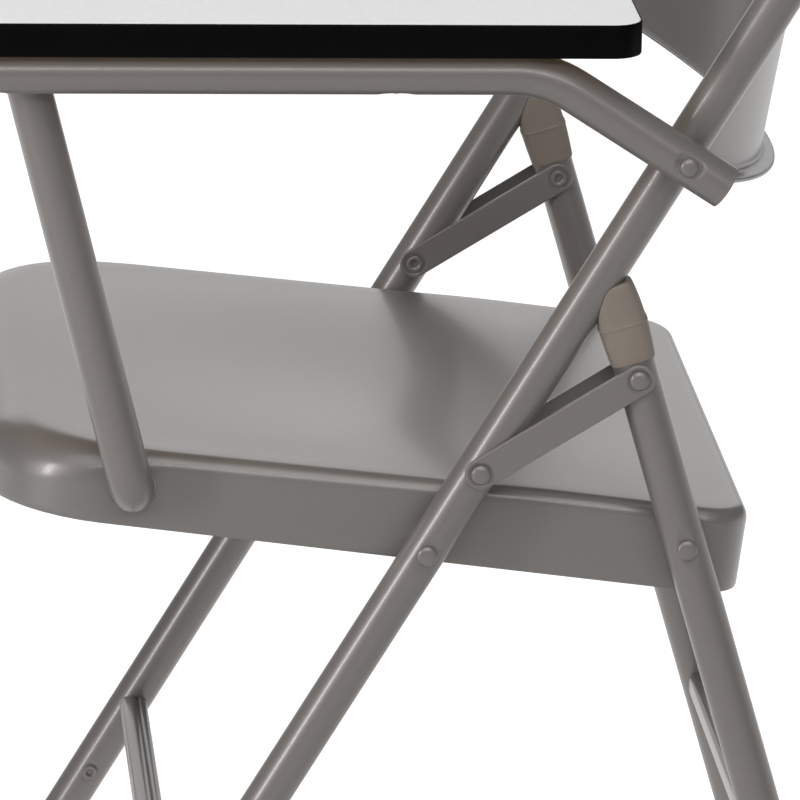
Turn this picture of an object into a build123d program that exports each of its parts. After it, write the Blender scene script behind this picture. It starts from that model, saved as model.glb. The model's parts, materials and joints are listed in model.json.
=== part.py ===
from build123d import *
from math import atan2, cos, degrees, radians, sin, tan
import os

os.makedirs("parts", exist_ok=True)

# Steel folding chair with a fixed writing tablet on the sitter's left.
# Millimetres. +Z is up, the sitter faces -Y and +X is the sitter's left.
# The origin is on the floor, under the middle of the whole chair's box.

# ---- driving dimensions ----
tube_d = 22.2
tube_wall = 1.2
arm_tube_d = 23.0
leg_centre_half = 214.0
hinge_height = 385.0
front_slope = 58.0
rear_slope = 74.3
seat_tilt = 8.2
frame_top_run = 435.0
bow_radius = 66.0

rear_pivot_back = 136.0
link_low_up = 52.2
link_high_up = 96.5
arm_pivot_up = 249.2
post_foot = (-151.5, 32.5)
post_head = (-206.0, 264.0)

rivet_r = 3.2
rivet_head_r = 5.4
rivet_head_rise = 2.2
arm_rivet_head_r = 4.8
running_gap = 0.05
free_gap = 0.3

seat_skirt_half = 198.5
seat_front = 230.0
seat_rear = 171.0
seat_below = 10.4
seat_above = 34.4
sheet = 1.2

plate_thick = 2.0
plate_width = 16.5

tablet_reach = 257.5
tablet_inner = -38.0
tablet_front = 432.0
tablet_rear = 107.5
tablet_thick = 17.5
band_thick = 2.0
laminate_thick = 1.0
arm_tilt = 1.25
arm_mid_height = 261.4
arm_drop_slope = 33.8
arm_front_end = 262.0
screw_stations = (-224.0, -17.0)

leg_rivet_run = -303.5
leg_rivet_r = 2.6
foot_cap_r = 13.6
foot_cap_run = 30.0

# ---- values worked out from them ----
tube_r = tube_d / 2
arm_r = arm_tube_d / 2
side_face = leg_centre_half + tube_r
plate_in = leg_centre_half - tube_r - free_gap
plate_out = side_face + free_gap
link_side_reach = plate_out + plate_thick + free_gap + rivet_head_rise
frame_mid_x = (link_side_reach - tablet_reach) / 2
rear_foot_back = rear_pivot_back + hinge_height / tan(radians(rear_slope))
rear_reach = rear_foot_back + foot_cap_r / sin(radians(rear_slope))
front_reach = tablet_front * cos(radians(arm_tilt)) - arm_r * sin(radians(arm_tilt))
hinge_y = (front_reach - rear_reach) / 2
arm_centre = side_face + 1.4 + arm_r
post_centre = arm_centre - arm_r - 0.8 - arm_r

front_c = cos(radians(front_slope))
front_s = sin(radians(front_slope))
rear_c = cos(radians(rear_slope))
rear_s = sin(radians(rear_slope))


def on_front(run):
    """Back and height from the front hinge of a point on the front tube's centreline."""
    return (run * front_c, run * front_s)


def on_rear(run):
    """Back and height from the front hinge of a point on the rear leg's centreline."""
    return (rear_pivot_back - run * rear_c, run * rear_s)


def place(x, back, up):
    """A point in the chair's frame, from the middle of the frame and the front hinge line."""
    return Vector(frame_mid_x + x, hinge_y + back, hinge_height + up)


def side_plane(x, spot=(0, 0)):
    """A plane seen from the chair's side: its X runs back, its Y up, its normal along +X."""
    return Plane(origin=place(x, *spot), x_dir=(0, 1, 0), z_dir=(1, 0, 0))


front_plane = Plane(origin=place(0, 0, 0), x_dir=(1, 0, 0), z_dir=(0, -front_s, front_c))
seat_plane = Plane(
    origin=place(0, 0, 0),
    x_dir=(1, 0, 0),
    z_dir=(0, sin(radians(seat_tilt)), cos(radians(seat_tilt))),
)


def front_axis_plane(x, run):
    """A plane square to one front tube, its normal pointing up the tube."""
    return Plane(origin=place(x, *on_front(run)), x_dir=(1, 0, 0), z_dir=(0, front_c, front_s))


def rear_axis_plane(x, run):
    """A plane square to one rear leg, its normal pointing up the leg."""
    return Plane(origin=place(x, *on_rear(run)), x_dir=(1, 0, 0), z_dir=(0, -rear_c, rear_s))


def save(part, label):
    """Label a finished piece and write its file."""
    part.label = label
    export_step(part, f"parts/{label}.step")


sides = ((1, "left"), (-1, "right"))
link_low = on_front(link_low_up)
link_high = on_rear(link_high_up)
arm_pivot = on_front(arm_pivot_up)
rear_pivot = on_rear(0)
front_tube_end = -(hinge_height - 9.0) / front_s
rear_tube_end = -(hinge_height - 6.0) / rear_s

# ---- front frame: one tube bent to an inverted U, drilled for the pivots ----
with BuildPart() as front_frame:
    with BuildLine(front_plane) as frame_path:
        FilletPolyline(
            (-leg_centre_half, front_tube_end),
            (-leg_centre_half, frame_top_run),
            (leg_centre_half, frame_top_run),
            (leg_centre_half, front_tube_end),
            radius=bow_radius,
        )
    with BuildSketch(Plane(origin=frame_path.wire() @ 0, z_dir=frame_path.wire() % 0)):
        Circle(tube_r)
        Circle(tube_r - tube_wall, mode=Mode.SUBTRACT)
    sweep(path=frame_path.wire())
    for pivot in ((0, 0), link_low):
        with BuildSketch(side_plane(0, pivot)):
            Circle(rivet_r)
        extrude(amount=side_face + 1, both=True, mode=Mode.SUBTRACT)
    with BuildSketch(side_plane(leg_centre_half, arm_pivot)):
        Circle(rivet_r)
    extrude(amount=tube_d, mode=Mode.SUBTRACT)
    with BuildSketch(side_plane(0, on_front(leg_rivet_run))):
        Circle(leg_rivet_r)
    extrude(amount=leg_centre_half, both=True, mode=Mode.SUBTRACT)
save(front_frame.part, "front_frame")

# ---- cross braces: grooved bars coped onto the inner sides of the legs ----
brace_depth = 15.5
brace_height = 13.0
brace_groove = 3.0
front_brace_run = -255.5
rear_brace_run = -220.0


def cross_brace(section_plane, leg_plane):
    """A grooved hollow bar between two legs, its ends coped to the tubes."""
    with BuildPart() as brace:
        with BuildSketch(section_plane):
            RectangleRounded(brace_depth, brace_height, 3.5)
            with Locations((1.6, brace_height / 2)):
                Circle(brace_groove / 2, mode=Mode.SUBTRACT)
            with Locations((0, -0.8)):
                RectangleRounded(brace_depth - 2.8, brace_height - 5.0, 2.0, mode=Mode.SUBTRACT)
        extrude(amount=leg_centre_half, both=True)
        for side in (-1, 1):
            with BuildSketch(leg_plane(side * leg_centre_half)):
                Circle(tube_r)
            extrude(amount=40, both=True, mode=Mode.SUBTRACT)
            with BuildSketch(leg_plane(side * (leg_centre_half + tube_r))):
                Rectangle(2 * tube_r, 4 * tube_r)
            extrude(amount=40, both=True, mode=Mode.SUBTRACT)
    return brace.part


save(
    cross_brace(
        side_plane(0, on_front(front_brace_run)),
        lambda x: front_axis_plane(x, front_brace_run),
    ),
    "front_cross_brace",
)
save(
    cross_brace(
        side_plane(0, on_rear(rear_brace_run)),
        lambda x: rear_axis_plane(x, rear_brace_run),
    ),
    "rear_cross_brace",
)

# ---- backrest: a sheet bowed to the rear, deepest at its lower edge ----
back_low_run = 238.5
back_high_run = frame_top_run - tube_r
back_half = leg_centre_half - tube_r + 2.0
back_low_bow = 78.0
back_high_bow = 2.0
back_low_dip = radians(24.0)
back_lip = 10.0
low_plane = Plane(
    origin=place(0, *on_front(back_low_run)),
    x_dir=(1, 0, 0),
    z_dir=(0, sin(back_low_dip), cos(back_low_dip)),
)
high_plane = front_axis_plane(0, back_high_run)


def bowed_strip(bow, thickness):
    """A strip that follows a shallow arc, bowed to the rear of its plane."""
    with BuildSketch() as strip:
        with BuildLine():
            front_arc = ThreePointArc((-back_half, 0), (0, bow), (back_half, 0))
            rear_arc = ThreePointArc((-back_half, thickness), (0, bow + thickness), (back_half, thickness))
            Line(front_arc @ 0, rear_arc @ 0)
            Line(front_arc @ 1, rear_arc @ 1)
        make_face()
    return strip.sketch


with BuildPart() as frame_envelope:
    with BuildLine(front_plane) as envelope_path:
        FilletPolyline(
            (-leg_centre_half, back_low_run - 60),
            (-leg_centre_half, frame_top_run),
            (leg_centre_half, frame_top_run),
            (leg_centre_half, back_low_run - 60),
            radius=bow_radius,
        )
    with BuildSketch(Plane(origin=envelope_path.wire() @ 0, z_dir=envelope_path.wire() % 0)):
        Circle(tube_r)
    sweep(path=envelope_path.wire())

with BuildPart() as backrest_panel:
    with BuildSketch(low_plane):
        add(bowed_strip(back_low_bow, sheet))
    with BuildSketch(high_plane):
        add(bowed_strip(back_high_bow, sheet))
    loft()
    with BuildSketch(low_plane):
        add(bowed_strip(back_low_bow, back_lip))
    extrude(amount=1.6)
    with BuildSketch(front_plane):
        with Locations((0, frame_top_run - 150)):
            RectangleRounded(2 * leg_centre_half, 300, bow_radius)
    extrude(amount=150, both=True, mode=Mode.INTERSECT)
    add(frame_envelope.part, mode=Mode.SUBTRACT)
save(backrest_panel.part, "backrest_panel")

# ---- seat: a pressed pan with deep skirts, dished top and pivot holes ----
seat_mid = (seat_rear - seat_front) / 2
seat_depth = seat_front + seat_rear
front_corner_r = 62.0
rear_corner_r = 26.0
dish_depth = 5.0
dish_r = 172.0
dish_sphere_r = (dish_r**2 + dish_depth**2) / (2 * dish_depth)
dish_centre = seat_plane.from_local_coords(Vector(0, seat_mid, seat_above - dish_depth + dish_sphere_r))
seat_edge_r = 7.0
seat_up = Axis(seat_plane.origin, seat_plane.z_dir)
post_hole_r = arm_r + 0.35


def seat_outline(inset):
    """Plan of the seat, with large front corners and tighter rear corners."""
    half = seat_skirt_half - inset
    with BuildSketch() as outline:
        with Locations((0, seat_mid)):
            Rectangle(2 * half, seat_depth - 2 * inset)
        fillet(outline.vertices().sort_by(Axis.Y)[:2], front_corner_r - inset)
        fillet(outline.vertices().sort_by(Axis.Y)[-2:], rear_corner_r - inset)
    return outline.sketch


with BuildPart() as seat_hollow:
    with BuildSketch(seat_plane.offset(-seat_below)):
        add(seat_outline(sheet))
    extrude(amount=seat_below + seat_above - sheet)
    fillet(seat_hollow.faces().sort_by(seat_up)[-1].edges(), seat_edge_r - sheet)
    with Locations(dish_centre):
        Sphere(dish_sphere_r + sheet, mode=Mode.SUBTRACT)

with BuildPart() as seat_pan:
    with BuildSketch(seat_plane.offset(-seat_below)):
        add(seat_outline(0))
    extrude(amount=seat_below + seat_above)
    fillet(seat_pan.faces().sort_by(seat_up)[-1].edges(), seat_edge_r)
    with Locations(dish_centre):
        Sphere(dish_sphere_r, mode=Mode.SUBTRACT)
    add(seat_hollow.part, mode=Mode.SUBTRACT)
    for pivot in ((0, 0), rear_pivot):
        with BuildSketch(side_plane(0, pivot)):
            Circle(rivet_r + running_gap)
        extrude(amount=seat_skirt_half + 1, both=True, mode=Mode.SUBTRACT)
    with BuildSketch(side_plane(seat_skirt_half - 10, post_foot)):
        Circle(post_hole_r)
    extrude(amount=11, mode=Mode.SUBTRACT)
save(seat_pan.part, "seat_pan")

# ---- rear legs ----
rear_tube_top = 105.0
for side, side_name in sides:
    with BuildPart() as rear_leg:
        with BuildSketch(rear_axis_plane(side * leg_centre_half, rear_tube_end)):
            Circle(tube_r)
            Circle(tube_r - tube_wall, mode=Mode.SUBTRACT)
        extrude(amount=rear_tube_top - rear_tube_end)
        with BuildSketch(side_plane(side * leg_centre_half, rear_pivot)):
            Circle(rivet_r)
        extrude(amount=tube_d, both=True, mode=Mode.SUBTRACT)
    save(rear_leg.part, f"rear_leg_{side_name}")

# ---- rear leg caps: plastic saddles that bear on the back of the front tube ----
cap_high = 148.0
cap_r = 13.2
cap_half_width = tube_r - 0.2
cap_plug_r = tube_r - tube_wall - 0.05
for side, side_name in sides:
    x = side * leg_centre_half
    with BuildPart() as leg_cap:
        with BuildSketch(rear_axis_plane(x, rear_tube_top)):
            Circle(cap_r)
            Rectangle(2 * cap_half_width, 2 * cap_r, mode=Mode.INTERSECT)
        extrude(amount=cap_high - rear_tube_top)
        with BuildSketch(rear_axis_plane(x, rear_tube_top - 12)):
            Circle(cap_plug_r)
        extrude(amount=14)
        with BuildSketch(front_axis_plane(x, 0)):
            Circle(tube_r + free_gap)
            with Locations((0, -cap_r)):
                Rectangle(4 * cap_r, 2 * cap_r)
        extrude(amount=300, mode=Mode.SUBTRACT)
    save(leg_cap.part, f"rear_leg_cap_{side_name}")


# ---- foot caps: plastic sleeves cut level with the floor ----
def foot_cap(tube_end_plane):
    """A sleeve over one tube's end, closed below it and flat where it meets the floor."""
    with BuildPart() as cap:
        with BuildSketch(tube_end_plane.offset(-foot_cap_r)):
            Circle(foot_cap_r)
        extrude(amount=foot_cap_r + foot_cap_run)
        fillet(cap.faces().sort_by(Axis.Z)[-1].edges(), 1.0)
        with BuildSketch(tube_end_plane):
            Circle(tube_r)
        extrude(amount=foot_cap_run + 1, mode=Mode.SUBTRACT)
        split(bisect_by=Plane.XY, keep=Keep.TOP)
    return cap.part


for side, side_name in sides:
    x = side * leg_centre_half
    save(foot_cap(front_axis_plane(x, front_tube_end)), f"foot_cap_front_{side_name}")
    save(foot_cap(rear_axis_plane(x, rear_tube_end)), f"foot_cap_rear_{side_name}")


# ---- hinge links: a pair of flat plates each side, inside and outside the tubes ----
link_run = (Vector(*link_high) - Vector(*link_low)).length
link_angle = degrees(atan2(link_high[1] - link_low[1], link_high[0] - link_low[0]))
link_middle = ((link_low[0] + link_high[0]) / 2, (link_low[1] + link_high[1]) / 2)


def link_plate(near_x, far_x):
    """One flat plate with rounded ends, between two stations across the chair."""
    with BuildPart() as plate:
        with BuildSketch(side_plane(near_x)):
            with Locations(link_middle):
                SlotCenterToCenter(link_run, plate_width, rotation=link_angle)
            with Locations(link_low):
                Circle(rivet_r + running_gap, mode=Mode.SUBTRACT)
            with Locations(link_high):
                Circle(rivet_r, mode=Mode.SUBTRACT)
        extrude(amount=far_x - near_x)
    return plate.part


for side, side_name in sides:
    outer_plate = link_plate(side * plate_out, side * (plate_out + plate_thick))
    inner_plate = link_plate(side * plate_in, side * (plate_in - plate_thick))
    save(outer_plate, f"link_plate_outer_{side_name}")
    save(inner_plate, f"link_plate_inner_{side_name}")

# ---- rivets: a domed head outside, a hollow rolled tail inside ----
tail_r = 4.7
tail_rise = 1.2
tail_bore_r = 1.8


def disc(x_from, x_to, spot, radius):
    """A round disc between two stations across the chair."""
    with BuildPart() as slab:
        with BuildSketch(side_plane(x_from, spot)):
            Circle(radius)
        extrude(amount=x_to - x_from)
    return slab.part


def domed_head(side, x, spot, radius=rivet_head_r):
    """A rivet's domed head, standing outward from a station across the chair."""
    with BuildPart() as head:
        with BuildSketch(side_plane(side * x, spot)):
            Circle(radius)
        extrude(amount=side * rivet_head_rise)
        outward = Axis((0, 0, 0), (side, 0, 0))
        fillet(head.faces().sort_by(outward)[-1].edges(), rivet_head_rise - 0.6)
    return head.part


def tail_bore(side, x, spot):
    """The hollow in a rivet's tail, cut from the tail's inner end."""
    return disc(side * (x - tail_rise), side * (x + plate_thick - 0.2), spot, tail_bore_r)


def through_rivet(side, x_in, x_out, spot):
    """A rivet whose shank runs from its tail to its head."""
    with BuildPart() as rivet:
        add(disc(side * x_in, side * x_out, spot, rivet_r))
        add(domed_head(side, x_out, spot))
        add(disc(side * x_in, side * (x_in - tail_rise), spot, tail_r))
        add(tail_bore(side, x_in, spot), mode=Mode.SUBTRACT)
    return rivet.part


skirt_inside = seat_skirt_half - sheet - free_gap
link_tail_x = plate_in - plate_thick - free_gap
link_head_x = plate_out + plate_thick + free_gap
for side, side_name in sides:
    save(through_rivet(side, skirt_inside, side_face, (0, 0)), f"seat_hinge_rivet_{side_name}")
    save(through_rivet(side, skirt_inside, side_face, rear_pivot), f"rear_hinge_rivet_{side_name}")
    save(through_rivet(side, link_tail_x, link_head_x, link_low), f"link_lower_rivet_{side_name}")
    with BuildPart() as upper_rivet:
        add(disc(side * plate_out, side * (plate_out + plate_thick), link_high, rivet_r))
        add(domed_head(side, plate_out + plate_thick, link_high))
        add(disc(side * plate_in, side * (plate_in - plate_thick), link_high, rivet_r))
        tail_x = plate_in - plate_thick
        add(disc(side * tail_x, side * (tail_x - tail_rise), link_high, tail_r))
        add(tail_bore(side, tail_x, link_high), mode=Mode.SUBTRACT)
    save(upper_rivet.part, f"link_upper_rivet_{side_name}")

arm_head_x = arm_centre + arm_r + free_gap
with BuildPart() as arm_rivet:
    add(disc(leg_centre_half, arm_head_x, arm_pivot, rivet_r))
    add(domed_head(1, arm_head_x, arm_pivot, arm_rivet_head_r))
save(arm_rivet.part, "arm_pivot_rivet")

# ---- spacers: plastic washers that keep the moving faces apart ----
spacer_r = 7.5


def spacer(side, x_from, x_to, spot):
    """A washer round a rivet's shank, between two stations across the chair."""
    with BuildPart() as washer:
        with BuildSketch(side_plane(side * x_from, spot)):
            Circle(spacer_r)
            Circle(rivet_r, mode=Mode.SUBTRACT)
        extrude(amount=side * (x_to - x_from))
    return washer.part


for side, side_name in sides:
    skirt_outside = seat_skirt_half + free_gap
    leg_inside = leg_centre_half - tube_r
    save(spacer(side, skirt_outside, leg_inside, (0, 0)), f"seat_hinge_spacer_{side_name}")
    save(spacer(side, skirt_outside, leg_inside, rear_pivot), f"rear_hinge_spacer_{side_name}")
save(spacer(1, side_face, arm_centre - arm_r - free_gap, arm_pivot), "arm_pivot_spacer")

# ---- small hollow rivets on the inner sides of the front legs ----
leg_rivet_spot = on_front(leg_rivet_run)
with BuildPart() as leg_rivets:
    for side in (1, -1):
        leg_inside = leg_centre_half - tube_r
        rim = leg_inside - 1.2
        add(disc(side * (leg_inside + tube_wall), side * leg_inside, leg_rivet_spot, leg_rivet_r))
        add(disc(side * leg_inside, side * rim, leg_rivet_spot, leg_rivet_r + 1.8))
        add(disc(side * (rim - 1), side * (rim + 3), leg_rivet_spot, leg_rivet_r - 1), mode=Mode.SUBTRACT)
save(leg_rivets.part, "front_leg_rivets")

# ---- arm: a tube that rises from its pivot and runs level under the tablet ----
tablet_plane = Plane(
    origin=place(0, 0, arm_mid_height),
    x_dir=(1, 0, 0),
    z_dir=(0, sin(radians(arm_tilt)), cos(radians(arm_tilt))),
)
drop = tan(radians(arm_drop_slope))
rise = tan(radians(arm_tilt))
bend_back = (arm_pivot[0] * drop + arm_pivot[1] - arm_mid_height) / (drop - rise)
bend_spot = (bend_back, arm_mid_height - rise * bend_back)
arm_tail = 24.0
arm_tail_spot = (
    arm_pivot[0] + arm_tail * cos(radians(arm_drop_slope)),
    arm_pivot[1] - arm_tail * sin(radians(arm_drop_slope)),
)
arm_tip_spot = (-arm_front_end, arm_mid_height + rise * arm_front_end)
arm_bend_r = 70.0
screw_r = 2.2
screw_head_r = 4.6
screw_head_rise = 1.8
screw_bite = 11.0

with BuildPart() as arm_tube:
    with BuildLine(side_plane(arm_centre)) as arm_path:
        FilletPolyline(arm_tail_spot, bend_spot, arm_tip_spot, radius=arm_bend_r)
    with BuildSketch(Plane(origin=arm_path.wire() @ 0, z_dir=arm_path.wire() % 0)):
        Circle(arm_r)
        Circle(arm_r - tube_wall, mode=Mode.SUBTRACT)
    sweep(path=arm_path.wire())
    with BuildSketch(side_plane(arm_centre, arm_pivot)):
        Circle(rivet_r + running_gap)
    extrude(amount=arm_tube_d, both=True, mode=Mode.SUBTRACT)
    with BuildSketch(tablet_plane):
        with Locations(*[(arm_centre, station) for station in screw_stations]):
            Circle(screw_r)
    extrude(amount=arm_tube_d, both=True, mode=Mode.SUBTRACT)
save(arm_tube.part, "arm_tube")

with BuildPart() as arm_end_plug:
    with BuildSketch(Plane(origin=arm_path.wire() @ 1, z_dir=arm_path.wire() % 1)):
        Circle(arm_r)
    extrude(amount=3)
    with BuildSketch(Plane(origin=arm_path.wire() @ 1, z_dir=arm_path.wire() % 1)):
        Circle(arm_r - tube_wall)
    extrude(amount=-10)
save(arm_end_plug.part, "arm_end_plug")

# ---- tablet: board, laminate face and black edge band, tipped up a little to the front ----
tablet_corners = (
    ((tablet_reach, tablet_rear), 16.0),
    ((tablet_reach, -tablet_front), 50.0),
    ((tablet_inner, -tablet_front), 50.0),
    ((tablet_inner, -150.0), 90.0),
    ((110.0, 20.0), 90.0),
    ((110.0, tablet_rear), 16.0),
)


def tablet_outline(inset):
    """Plan of the tablet: full width in front, cut back to an elbow rest behind."""
    with BuildSketch() as outline:
        Polygon(*[corner for corner, _ in tablet_corners], align=None)
        for corner, radius in tablet_corners:
            fillet(outline.vertices().sort_by_distance(corner)[0], radius)
        if inset:
            offset(amount=-inset)
    return outline.sketch


bracket_screws = ((post_centre, post_head[0] - 21), (post_centre, post_head[0] + 21))
with BuildPart() as tablet_board:
    with BuildSketch(tablet_plane.offset(arm_r)):
        add(tablet_outline(band_thick))
    extrude(amount=tablet_thick - laminate_thick)
    with BuildSketch(tablet_plane.offset(arm_r)):
        with Locations(*[(arm_centre, station) for station in screw_stations], *bracket_screws):
            Circle(screw_r)
    extrude(amount=screw_bite, mode=Mode.SUBTRACT)
save(tablet_board.part, "tablet_board")

with BuildPart() as tablet_laminate:
    with BuildSketch(tablet_plane.offset(arm_r + tablet_thick - laminate_thick)):
        add(tablet_outline(band_thick))
    extrude(amount=laminate_thick)
save(tablet_laminate.part, "tablet_laminate")

with BuildPart() as tablet_edge_band:
    with BuildSketch(tablet_plane.offset(arm_r)):
        add(tablet_outline(0))
        add(tablet_outline(band_thick), mode=Mode.SUBTRACT)
    extrude(amount=tablet_thick)
save(tablet_edge_band.part, "tablet_edge_band")

with BuildPart() as tablet_screws:
    with BuildSketch(tablet_plane.offset(-arm_r - screw_head_rise)):
        with Locations(*[(arm_centre, station) for station in screw_stations]):
            Circle(screw_head_r)
    extrude(amount=screw_head_rise)
    with BuildSketch(tablet_plane.offset(-arm_r)):
        with Locations(*[(arm_centre, station) for station in screw_stations]):
            Circle(screw_r)
    extrude(amount=2 * arm_r + screw_bite)
save(tablet_screws.part, "tablet_screws")

# ---- post: a tube whose foot turns in through the seat's skirt ----
post_lean = atan2(post_head[0] - post_foot[0], post_head[1] - post_foot[1])
post_length = (Vector(*post_head) - Vector(*post_foot)).length
post_tube_length = 226.0
post_bend_r = 15.0
post_stub_x = seat_skirt_half - sheet - 3.0
post_plane = Plane(
    origin=place(0, *post_foot),
    x_dir=(1, 0, 0),
    z_dir=(0, -cos(post_lean), sin(post_lean)),
)

with BuildPart() as post_tube:
    with BuildLine(post_plane) as post_path:
        FilletPolyline(
            (post_stub_x, 0),
            (post_centre, 0),
            (post_centre, post_tube_length),
            radius=post_bend_r,
        )
    with BuildSketch(Plane(origin=post_path.wire() @ 0, z_dir=post_path.wire() % 0)):
        Circle(arm_r)
        Circle(arm_r - tube_wall, mode=Mode.SUBTRACT)
    sweep(path=post_path.wire())
save(post_tube.part, "post_tube")

with BuildPart() as post_retainer:
    with BuildSketch(side_plane(skirt_inside, post_foot)):
        Circle(arm_r + 4.5)
        Circle(arm_r, mode=Mode.SUBTRACT)
    extrude(amount=-2.0)
save(post_retainer.part, "post_retaining_ring")

eye_half = 3.0
eye_r = 8.0
with BuildPart() as post_eye:
    with BuildSketch(Plane(origin=post_path.wire() @ 1, z_dir=post_path.wire() % 1)):
        Circle(arm_r - tube_wall)
    extrude(amount=-6)
    with BuildSketch(side_plane(post_centre - eye_half, post_head)):
        Circle(eye_r)
        with Locations(Location((0, 0, 0), (0, 0, degrees(post_lean) * -1))):
            with Locations((0, -(post_length - post_tube_length) / 2)):
                Rectangle(2 * eye_r, post_length - post_tube_length)
        Circle(rivet_r, mode=Mode.SUBTRACT)
    extrude(amount=2 * eye_half)
save(post_eye.part, "post_eye")

# ---- post bracket: two ears under the tablet that hold the post's pin ----
ear_thick = 2.5
ear_r = 6.0
ear_gap = 0.4
base_thick = 2.5
ear_faces = (eye_half + ear_gap, eye_half + ear_gap + ear_thick)
head_drop = tablet_plane.to_local_coords(place(post_centre, *post_head)).Z
with BuildPart() as post_bracket:
    with BuildSketch(tablet_plane.offset(arm_r - base_thick)):
        with Locations((post_centre, post_head[0])):
            Rectangle(21, 56)
        with Locations(*bracket_screws):
            Circle(screw_r, mode=Mode.SUBTRACT)
    extrude(amount=base_thick)
    for side in (1, -1):
        with BuildSketch(side_plane(post_centre + side * ear_faces[0], post_head)):
            Circle(ear_r)
            with Locations((0, (arm_r - base_thick - head_drop) / 2)):
                Rectangle(2 * ear_r, arm_r - base_thick - head_drop + 0.6)
            Circle(rivet_r, mode=Mode.SUBTRACT)
        extrude(amount=side * ear_thick)
save(post_bracket.part, "post_bracket")

with BuildPart() as post_pins:
    for side in (1, -1):
        ear_near = post_centre + side * ear_faces[0]
        ear_far = post_centre + side * ear_faces[1]
        add(disc(ear_near, ear_far, post_head, rivet_r))
        add(disc(ear_far, ear_far + side * 1.4, post_head, 5.6))
save(post_pins.part, "post_bracket_pins")

with BuildPart() as bracket_screw_pair:
    with BuildSketch(tablet_plane.offset(arm_r - base_thick - screw_head_rise)):
        with Locations(*bracket_screws):
            Circle(screw_head_r)
    extrude(amount=screw_head_rise)
    with BuildSketch(tablet_plane.offset(arm_r - base_thick)):
        with Locations(*bracket_screws):
            Circle(screw_r)
    extrude(amount=base_thick + screw_bite)
save(bracket_screw_pair.part, "post_bracket_screws")
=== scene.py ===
import json
import math

import bpy
import bmesh
from mathutils import Matrix, Vector


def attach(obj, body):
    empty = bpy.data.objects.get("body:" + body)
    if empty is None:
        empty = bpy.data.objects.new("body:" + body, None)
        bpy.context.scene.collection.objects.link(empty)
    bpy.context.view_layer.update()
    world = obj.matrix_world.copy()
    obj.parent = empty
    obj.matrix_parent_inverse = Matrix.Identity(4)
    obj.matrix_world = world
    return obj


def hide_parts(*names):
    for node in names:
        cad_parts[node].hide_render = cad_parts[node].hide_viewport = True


# A folding chair with a writing tablet. Metres; +Z up, the sitter faces -Y, +X is the sitter's left.
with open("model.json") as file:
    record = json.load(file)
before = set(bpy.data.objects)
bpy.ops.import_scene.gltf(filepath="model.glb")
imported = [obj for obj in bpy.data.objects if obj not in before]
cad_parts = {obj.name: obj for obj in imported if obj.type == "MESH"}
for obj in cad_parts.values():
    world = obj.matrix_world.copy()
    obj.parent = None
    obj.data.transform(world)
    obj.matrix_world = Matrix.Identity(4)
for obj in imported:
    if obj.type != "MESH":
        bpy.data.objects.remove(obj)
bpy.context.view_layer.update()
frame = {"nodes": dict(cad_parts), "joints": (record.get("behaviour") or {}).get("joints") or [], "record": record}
nodes = frame["nodes"]
pivots = {joint["name"]: joint["pos_m"] for joint in frame["joints"]}

# ---- sizes shared by the pieces ----
MM = 0.001
HINGE = Vector(pivots["seat_fold"])
TUBE_R = 11.1 * MM
ARM_R = 11.5 * MM
WALL = 1.2 * MM
FRONT_SLOPE = math.radians(58.0)
REAR_SLOPE = math.radians(74.3)
SEAT_TILT = math.radians(8.2)
ARM_TILT = math.radians(1.25)
# Millimetres from the frame's middle, from the seat hinge or along a leg from its pivot.
LEG_X = 214
ARM_X = 238
ARM_UP = 261.4
HINGE_UP = 385
FRAME_TOP_RUN = 435
BOW_RADIUS = 66
BRACE_RIVET_RUN = -303.5
FRONT_BRACE_RUN = -255.5
REAR_BRACE_RUN = -220.0
SCREW_STATIONS = (-224, -17)


def place(x, back, up):
    """A point from the frame's middle and the seat hinge line, in millimetres."""
    return HINGE + Vector((x, back, up)) * MM


def beside(joint):
    """Back and height of a joint from the seat hinge, in millimetres."""
    d = Vector(pivots[joint]) - HINGE
    return d.y / MM, d.z / MM


REAR_PIVOT = beside("rear_leg_fold")
LINK_LOW = beside("link_fold")
ARM_PIVOT = beside("arm_lift")
POST_FOOT = beside("post_fold")


def on_front(run):
    """Back and height of a place on the front tubes, by its distance above the hinge."""
    return run * math.cos(FRONT_SLOPE), run * math.sin(FRONT_SLOPE)


def on_rear(run):
    """Back and height of a place on the rear legs, by its distance above their pivot."""
    return REAR_PIVOT[0] - run * math.cos(REAR_SLOPE), run * math.sin(REAR_SLOPE)


LINK_HIGH = on_rear(96.5)
SIDES = ((1, "left"), (-1, "right"))


# ---- materials ----
def new_material(name):
    made = bpy.data.materials.new(name)
    made.use_nodes = True
    tree = made.node_tree
    return made, tree, tree.nodes["Principled BSDF"]


def noise(tree, scale, detail=2.0, rough=0.5, stretch=None):
    """A noise texture over the object's own coordinates, in metres."""
    coords = tree.nodes.new("ShaderNodeTexCoord")
    texture = tree.nodes.new("ShaderNodeTexNoise")
    texture.inputs["Scale"].default_value = scale
    texture.inputs["Detail"].default_value = detail
    texture.inputs["Roughness"].default_value = rough
    if stretch is None:
        tree.links.new(coords.outputs["Object"], texture.inputs["Vector"])
    else:
        mapping = tree.nodes.new("ShaderNodeMapping")
        mapping.inputs["Scale"].default_value = stretch
        tree.links.new(coords.outputs["Object"], mapping.inputs["Vector"])
        tree.links.new(mapping.outputs["Vector"], texture.inputs["Vector"])
    return texture.outputs["Fac"]


def spread(tree, value, low, high, out_low, out_high):
    """The value moved from one range to another."""
    node = tree.nodes.new("ShaderNodeMapRange")
    node.inputs["From Min"].default_value = low
    node.inputs["From Max"].default_value = high
    node.inputs["To Min"].default_value = out_low
    node.inputs["To Max"].default_value = out_high
    tree.links.new(value, node.inputs["Value"])
    return node.outputs["Result"]


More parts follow.
